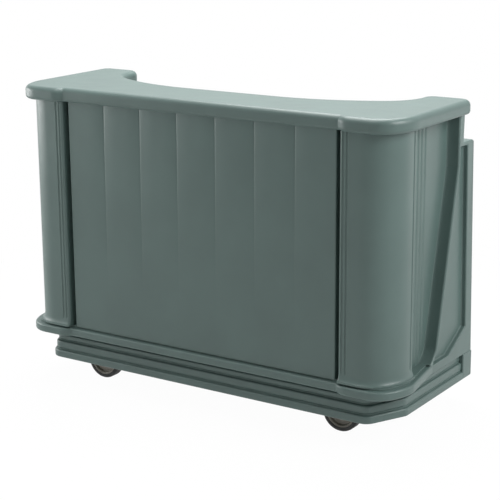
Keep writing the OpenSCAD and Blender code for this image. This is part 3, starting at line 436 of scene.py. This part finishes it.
# cut corner: its two ends and the arcs that ease them
front_in, side_half, cut_x, cut_y, cut_r = -330.0, 810.0, 80.0, 158.0, 50.0
cut_a = math.degrees(math.atan2(cut_y, cut_x))
ease_1 = cut_r * math.tan(math.radians(cut_a / 2))
ease_2 = cut_r * math.tan(math.radians((90 - cut_a) / 2))
cut_way = np.array([math.cos(math.radians(cut_a)), math.sin(math.radians(cut_a))])
cut_1, cut_2 = np.array([side_half - cut_x, front_in]), np.array([side_half, front_in + cut_y])
plinth_chain = chain((0, front_in), (0, -1), line_run((0, front_in), cut_1 - [ease_1, 0], 8, (0, -1)),
                     arc_run(cut_1 + [-ease_1, cut_r], cut_r, -90, cut_a, 10),
                     line_run(cut_1 + ease_1 * cut_way, cut_2 - ease_2 * cut_way, 4,
                              (cut_way[1], -cut_way[0])),
                     arc_run(cut_2 + [-cut_r, ease_2], cut_r, cut_a - 90, 90 - cut_a, 8),
                     line_run(cut_2 + [0, ease_2], (side_half, PLINTH_REAR), 6, (1, 0)))
skin("stepped_plinth", layers(*both_halves(*plinth_chain), plinth_levels), "plinth")

# %% [markdown]
# ## The boarded front
# The front is one moulding that looks like seven convex boards. Each joint is a groove with two wide
# shoulders that meet in a fine valley; it is deep at the head and fades out towards the foot. So the
# depth is a shoulder curve across the board times a share that falls with the way down the panel.

# %% Front panel
LIP_TOP, BODY_H = 256.0, 909.0
PANEL_HALF, PANEL_FACE, PANEL_REAR, PANEL_EDGE = 601.0, -336.0, -298.0, 5.0
BOARDS, BOARD_ROUND, BOARD_SINK = 7, 70.0, 5.0
VALLEY_HALF, VALLEY_SINK, VALLEY_NEAR = 6.0, 1.3, 20.0
FADE_SHARE, FADE_POWER = 0.9, 1.2


def shoulders(offset, half_width, depth):
    """Depth of a groove at a distance from its valley: R - sqrt(R^2 - (w - |t|)^2), a circle each side."""
    big = (half_width ** 2 + depth ** 2) / (2 * depth)
    inside = np.clip(half_width - np.abs(offset), 0, None)
    return big - np.sqrt(big ** 2 - inside ** 2)


pitch = 2 * PANEL_HALF / BOARDS
valleys = pitch * np.arange(1, BOARDS) - PANEL_HALF
# points crowd together near each valley
fine = np.linspace(-1, 1, 25)
crowd = valleys[:, None] + VALLEY_NEAR * np.sign(fine) * np.abs(fine) ** 1.6
even = np.linspace(-PANEL_HALF + PANEL_EDGE, PANEL_HALF - PANEL_EDGE, 150)
across = np.unique(np.concatenate([crowd.ravel(), even]).round(3))
up = LIP_TOP + BODY_H * np.linspace(0, 1, 40)
to_valley = across[:, None] - valleys[None, :]
head_depth = shoulders(to_valley, BOARD_ROUND, BOARD_SINK).max(1)
head_depth = head_depth + shoulders(to_valley, VALLEY_HALF, VALLEY_SINK).max(1)
fade = np.clip(1 - (LIP_TOP + BODY_H - up) / (FADE_SHARE * BODY_H), 0, 1) ** FADE_POWER
depth = head_depth[None, :] * fade[:, None]
face = np.stack([np.broadcast_to(across, depth.shape), PANEL_FACE + depth,
                 np.broadcast_to(up[:, None], depth.shape)], 2)
edge_a = np.radians(np.linspace(270, 360, 6))
right_edge = np.stack([PANEL_HALF + PANEL_EDGE * (np.cos(edge_a) - 1),
                       PANEL_FACE + PANEL_EDGE * (np.sin(edge_a) + 1)], 1)
right_edge = np.concatenate([right_edge, [[PANEL_HALF, PANEL_REAR]]])
left_edge = right_edge[::-1] * [-1, 1]
around = np.concatenate([right_edge, left_edge])
sides = np.concatenate([np.broadcast_to(around, (len(up), *around.shape)),
                        np.broadcast_to(up[:, None, None], (len(up), len(around), 1))], 2)
skin("boarded_front", np.concatenate([face, sides], 1), "front_panel")

# %% [markdown]
# ## The columns
# A column is a plan carried upwards: a flat front, a tight corner, a long curve to the side. Two
# fine grooves follow its inner edge and one its rear edge, and its foot flares out over the
# moulding. The plan keeps its number of points, so the flare and the grooves are offsets that
# change with the height.

# %% Columns
COL_FRONT, COL_SIDE, COL_REAR, COL_IN, COL_EDGE = -350.0, 822.0, -165.0, 620.0, 10.0
FRONT_GROOVES, SIDE_GROOVE, GROOVE_R = (635.0, 650.0), -180.0, 4.5
FINE_FRONT, FINE_SIDE = 656.0, -188.0
FLARE_OUT, FLARE_FOOT, FLARE_TOP, GROOVE_FROM, GROOVE_EASE = 13.0, 5.0, 34.0, 26.0, 12.0
col_small, col_large = 110.0, 200.0
col_c1 = np.array([COL_SIDE - col_small * sin_60 - col_large * (1 - sin_60), COL_FRONT + col_small])
col_c2 = col_c1 + (col_small - col_large) * np.array([sin_60, -0.5])
edge_points, _ = arc_run((COL_IN + COL_EDGE, COL_FRONT + COL_EDGE), COL_EDGE, 180, 90, 8)
# the points lie closer where the grooves are
front_x = np.unique(np.concatenate([np.linspace(COL_IN + COL_EDGE + 0.5, FINE_FRONT, 52),
                                    np.linspace(FINE_FRONT, col_c1[0], 8)]).round(3))
front_points = np.stack([front_x, np.full_like(front_x, COL_FRONT)], 1)
bend_1, out_1 = arc_run(col_c1, col_small, -90, 60, 14)
bend_2, out_2 = arc_run(col_c2, col_large, -30, 30, 16)
side_y = np.unique(np.concatenate([np.linspace(col_c2[1], FINE_SIDE, 3),
                                   np.linspace(FINE_SIDE + 0.1, COL_REAR, 46)]).round(3))[1:]
side_points = np.stack([np.full_like(side_y, COL_SIDE), side_y], 1)
plan = np.concatenate([[[COL_IN, COL_REAR], [COL_IN, COL_FRONT + COL_EDGE]], edge_points, front_points,
                       bend_1, bend_2, side_points])
ahead, aside = np.array([0.0, -1.0]), np.array([1.0, 0.0])
moves = np.concatenate([[[0, 0], ahead], np.tile(ahead, (len(edge_points) + len(front_points), 1)),
                        out_1, out_2, np.tile(aside, (len(side_points), 1))])


def notch(offset, radius, flat=0.7):
    """Depth of a groove, a flat half ellipse: f sqrt(r^2 - t^2) within its radius, nothing outside it."""
    return flat * np.sqrt(np.clip(radius ** 2 - offset ** 2, 0, None))


on_front = (plan[:, 1] == COL_FRONT)[:, None] * (-ahead)
on_side = (plan[:, 0] == COL_SIDE)[:, None] * (-aside)
cuts = on_front * sum(notch(plan[:, 0] - x, GROOVE_R) for x in FRONT_GROOVES)[:, None]
cuts = cuts + on_side * notch(plan[:, 1] - SIDE_GROOVE, GROOVE_R)[:, None]
flare_a = np.radians(np.linspace(0, 90, 14))
flare_out = np.concatenate([[FLARE_OUT], FLARE_OUT * (1 - np.sin(flare_a)), np.zeros(4)])
flare_z = np.concatenate([[0], FLARE_TOP - (FLARE_TOP - FLARE_FOOT) * np.cos(flare_a), [38, 44, 500, BODY_H]])
groove_on = np.clip((flare_z - GROOVE_FROM) / GROOVE_EASE, 0, 1)
stack = plan[None] + moves[None] * flare_out[:, None, None] + cuts[None] * groove_on[:, None, None]
column_z = np.broadcast_to((LIP_TOP + flare_z)[:, None, None], (*stack.shape[:2], 1))
column = np.concatenate([stack, column_z], 2)
skin("curved_column_right", column, "right_column")
skin("curved_column_left", column * [-1, 1, 1], "left_column")

# %% [markdown]
# ## The side panels
# Behind each column the side is boarded too and lies a little deeper. At its rear edge, which leans with
# the end panel, it opens outwards in a cove. At each height the plan is: a small front edge, the
# grooved face, then a tight cove that undercuts the face and turns square to it, and a half round as
# its rim. Near the foot the rim sweeps forward to meet the moulding.

# %% Side panels
SIDE_IN, SIDE_FACE, SIDE_OUT, SIDE_FRONT, SIDE_EDGE = 763.0, 775.0, 815.0, -141.0, 5.0
REAR_FOOT, REAR_HEAD, LEAN = 22.0, 180.0, math.tan(math.radians(12.5))
COVE_Y, COVE_IN, COVE_POWER, BEAD = 13.0, 9.0, 0.8, 7.0
SWEEP_H, SWEEP_Y = 60.0, 34.0
SIDE_JOINT_HALF, SIDE_JOINT_SINK, SIDE_JOINT_EASE = 13.0, 3.5, 12.0
side_up = np.unique(np.concatenate([np.linspace(0, SWEEP_H, 13), np.linspace(SWEEP_H, BODY_H, 40),
                                    [(REAR_HEAD - REAR_FOOT) / LEAN]]))
sweep_out = np.clip(1 - side_up / SWEEP_H, 0, 1) ** 2
rear_edge = np.minimum(REAR_FOOT + side_up * LEAN, REAR_HEAD) - SWEEP_Y * sweep_out
cove_start = (rear_edge - COVE_Y)[:, None]
small = np.radians(np.linspace(-90, 0, 6))
cove = np.radians(np.linspace(0, 90, 22))
bead = np.radians(np.linspace(-90, 90, 16))
along = np.linspace(0, 1, 170)
face_start = SIDE_FRONT + SIDE_EDGE
face_y = face_start + (cove_start - face_start) * along[None, :]
board_joints = np.array([-116.0, -88.0, -60.0, -32.0, -4.0])
joint_depth = shoulders(face_y[:, :, None] - board_joints, SIDE_JOINT_HALF, SIDE_JOINT_SINK).max(2)
joint_depth = joint_depth * np.clip((cove_start - face_y) / SIDE_JOINT_EASE, 0, 1)
rows = np.ones((len(side_up), 1))
cove_x = SIDE_OUT - (SIDE_OUT - SIDE_FACE) * np.cos(cove) - COVE_IN * np.sin(2 * cove)
plan_x = np.concatenate([rows * SIDE_IN, rows * (SIDE_FACE + SIDE_EDGE * (np.cos(small) - 1)),
                         SIDE_FACE - joint_depth, rows * cove_x, rows * (SIDE_OUT + BEAD * np.cos(bead)),
                         rows * SIDE_IN], 1)
plan_y = np.concatenate([rows * SIDE_FRONT, rows * (face_start + SIDE_EDGE * np.sin(small)), face_y,
                         cove_start + COVE_Y * np.sin(cove) ** COVE_POWER,
                         rear_edge[:, None] + BEAD * (1 + np.sin(bead)), rear_edge[:, None] + 2 * BEAD], 1)
plan_z = np.broadcast_to(LIP_TOP + side_up[:, None], plan_x.shape)
side_rings = np.stack([plan_x, plan_y, plan_z], 2)
skin("coved_side_right", side_rings, "right_side_panel")
skin("coved_side_left", side_rings * [-1, 1, 1], "left_side_panel")

# %% [markdown]
# ## The frame's own pieces
# The other solids already have the right shape, so they only need a finish and softer edges. Their
# triangles are loose, so one modifier joins them and a second makes flat faces whole again. Then the
# sharp edges are rounded, by more on thick mouldings than on sheet metal, and shaded smooth.

# %% Finish for each node
FINISH = {"body": shell, "inside": inner, "liner": liner, "foam": foam, "steel": steel, "zinc": zinc,
          "tyre": tyre, "hub": hub, "brass": brass, "red": red}
EDGE = {"body": 0.005, "inside": 0.002, "liner": 0.0012, "foam": 0.002, "steel": 0.0005, "zinc": 0.0006,
        "tyre": 0.0, "hub": 0.0008, "brass": 0.0008, "red": 0.0008}
slots = {s["node"]: s["material_slot"] for s in frame["record"]["subparts"]}


def geometry_group(name):
    """A new node group for a modifier, and the geometry that comes in."""
    group = bpy.data.node_groups.new(name, "GeometryNodeTree")
    group.interface.new_socket("Geometry", in_out="INPUT", socket_type="NodeSocketGeometry")
    group.interface.new_socket("Geometry", in_out="OUTPUT", socket_type="NodeSocketGeometry")
    return group, group.nodes.new("NodeGroupInput").outputs[0]


def joined_up():
    """Node group: merge points closer than a thousandth of a millimetre."""
    group, start = geometry_group("joined_up")
    merged = add(group, "GeometryNodeMergeByDistance", Geometry=start, Distance=1e-6).outputs[0]
    group.links.new(merged, group.nodes.new("NodeGroupOutput").inputs[0])
    return group


def soft_shading(limit):
    """Node group: shade smooth where faces meet at less than the limit."""
    group, start = geometry_group("soft_shading")
    angle = group.nodes.new("GeometryNodeInputMeshEdgeAngle").outputs["Unsigned Angle"]
    flat = add(group, "FunctionNodeCompare", {"operation": "LESS_THAN"}, i0=angle, i1=limit).outputs[0]
    faces = add(group, "GeometryNodeSetShadeSmooth", i0=start, i2=True).outputs[0]
    edges = add(group, "GeometryNodeSetShadeSmooth", {"domain": "EDGE"}, i0=faces, i2=flat).outputs[0]
    group.links.new(edges, group.nodes.new("NodeGroupOutput").inputs[0])
    return group


join_group, smooth_group = joined_up(), soft_shading(SMOOTH_BELOW)
for name, node in nodes.items():
    slot = slots[name]
    node.data.materials.clear()
    node.data.materials.append(FINISH[slot])
    node.modifiers.new("joined_up", "NODES").node_group = join_group
    if EDGE[slot] > 0:
        whole_faces = node.modifiers.new("whole_faces", "DECIMATE")
        whole_faces.decimate_type = "DISSOLVE"
        whole_faces.angle_limit = math.radians(0.6)
        edges = node.modifiers.new("soft_edges", "BEVEL")
        edges.width, edges.segments, edges.limit_method = EDGE[slot], 3, "ANGLE"
        edges.angle_limit, edges.use_clamp_overlap = math.radians(40), True
    node.modifiers.new("soft_shading", "NODES").node_group = smooth_group
    node.modifiers.new("large_faces_decide", "WEIGHTED_NORMAL").keep_sharp = True
print("finished nodes:", len(nodes))

# %% [markdown]
# ## Floor and light
# A pale floor carries the soft shadow and turns white away from the bar. The lamps are soft panels: a
# large one over the rear for the top, one over the front for the ledges, one on the right that
# brightens the side, one on the left that draws the edge of the column, and a weak one low behind.

# %% Floor
FLOOR_HALF, GLOW_NEAR, GLOW_FROM, GLOW_FULL = 40.0, 0.975, 1.1, 2.4


def shows(tree):
    """1 for a ray whose end is seen, straight, in a reflection or through glass, and 0 for other rays."""
    rays = tree.nodes.new("ShaderNodeLightPath").outputs
    either = add(tree, "ShaderNodeMath", {"operation": "MAXIMUM"}, i0=rays["Is Camera Ray"],
                 i1=rays["Is Glossy Ray"]).outputs[0]
    return add(tree, "ShaderNodeMath", {"operation": "MAXIMUM"}, i0=either,
               i1=rays["Is Transmission Ray"]).outputs[0]


grid = np.array([(-1, -1, 0), (1, -1, 0), (1, 1, 0), (-1, 1, 0)]) * FLOOR_HALF
floor_mesh = bpy.data.meshes.new("floor")
floor_mesh.from_pydata(grid.tolist(), [], [(0, 1, 2, 3)])
floor = bpy.data.objects.new("floor", floor_mesh)
scene.collection.objects.link(floor)
pale, tree, shader, place = finish_named("pale_floor")
reach = add(tree, "ShaderNodeVectorMath", {"operation": "LENGTH"}, i0=place).outputs["Value"]
away = add(tree, "ShaderNodeMapRange", {"interpolation_type": "SMOOTHSTEP"}, i0=reach, i1=GLOW_FROM,
           i2=GLOW_FULL, i3=GLOW_NEAR, i4=1.0).outputs["Result"]
away = add(tree, "ShaderNodeMath", {"operation": "MULTIPLY"}, i0=away, i1=shows(tree)).outputs[0]
plain = add(tree, "ShaderNodeBsdfDiffuse", Color=(0.86, 0.86, 0.86, 1)).outputs[0]
glow = add(tree, "ShaderNodeEmission", Color=(1, 1, 1, 1), Strength=1.0).outputs[0]
mixed = add(tree, "ShaderNodeMixShader", i0=away, i1=plain, i2=glow).outputs[0]
tree.links.new(mixed, tree.nodes["Material Output"].inputs["Surface"])
floor_mesh.materials.append(pale)
print("floor:", 2 * FLOOR_HALF, "m")

# %% Lamps and surroundings
AIM_AT, FILL = Vector((0, 0, 0.6)), 0.1


def lamp(name, place, wide, high, power):
    """A soft lamp, a panel of this width and height that faces the middle of the bar."""
    data = bpy.data.lights.new(name, "AREA")
    data.shape, data.size, data.size_y, data.energy = "RECTANGLE", wide, high, power
    made = bpy.data.objects.new(name, data)
    made.location = place
    made.rotation_euler = (AIM_AT - Vector(place)).to_track_quat("-Z", "Y").to_euler()
    scene.collection.objects.link(made)
    return made


lamp("above", (-0.4, 1.0, 4.2), 3.0, 3.0, 222)
lamp("front_above", (-0.6, -1.8, 4.6), 2.6, 1.8, 48)
lamp("right", (4.0, 0.2, 3.0), 2.4, 2.0, 145)
lamp("left", (-3.0, -0.9, 1.25), 2.2, 1.2, 52)
lamp("behind_right", (3.0, 3.4, 0.35), 1.2, 0.5, 5)
world = bpy.data.worlds.new("studio")
world.use_nodes = True
scene.world = world
tree = world.node_tree
strength = add(tree, "ShaderNodeMapRange", i0=shows(tree), i1=0.0, i2=1.0, i3=FILL, i4=1.0).outputs["Result"]
sky = tree.nodes["Background"]
sky.inputs["Color"].default_value = (1, 1, 1, 1)
tree.links.new(strength, sky.inputs["Strength"])
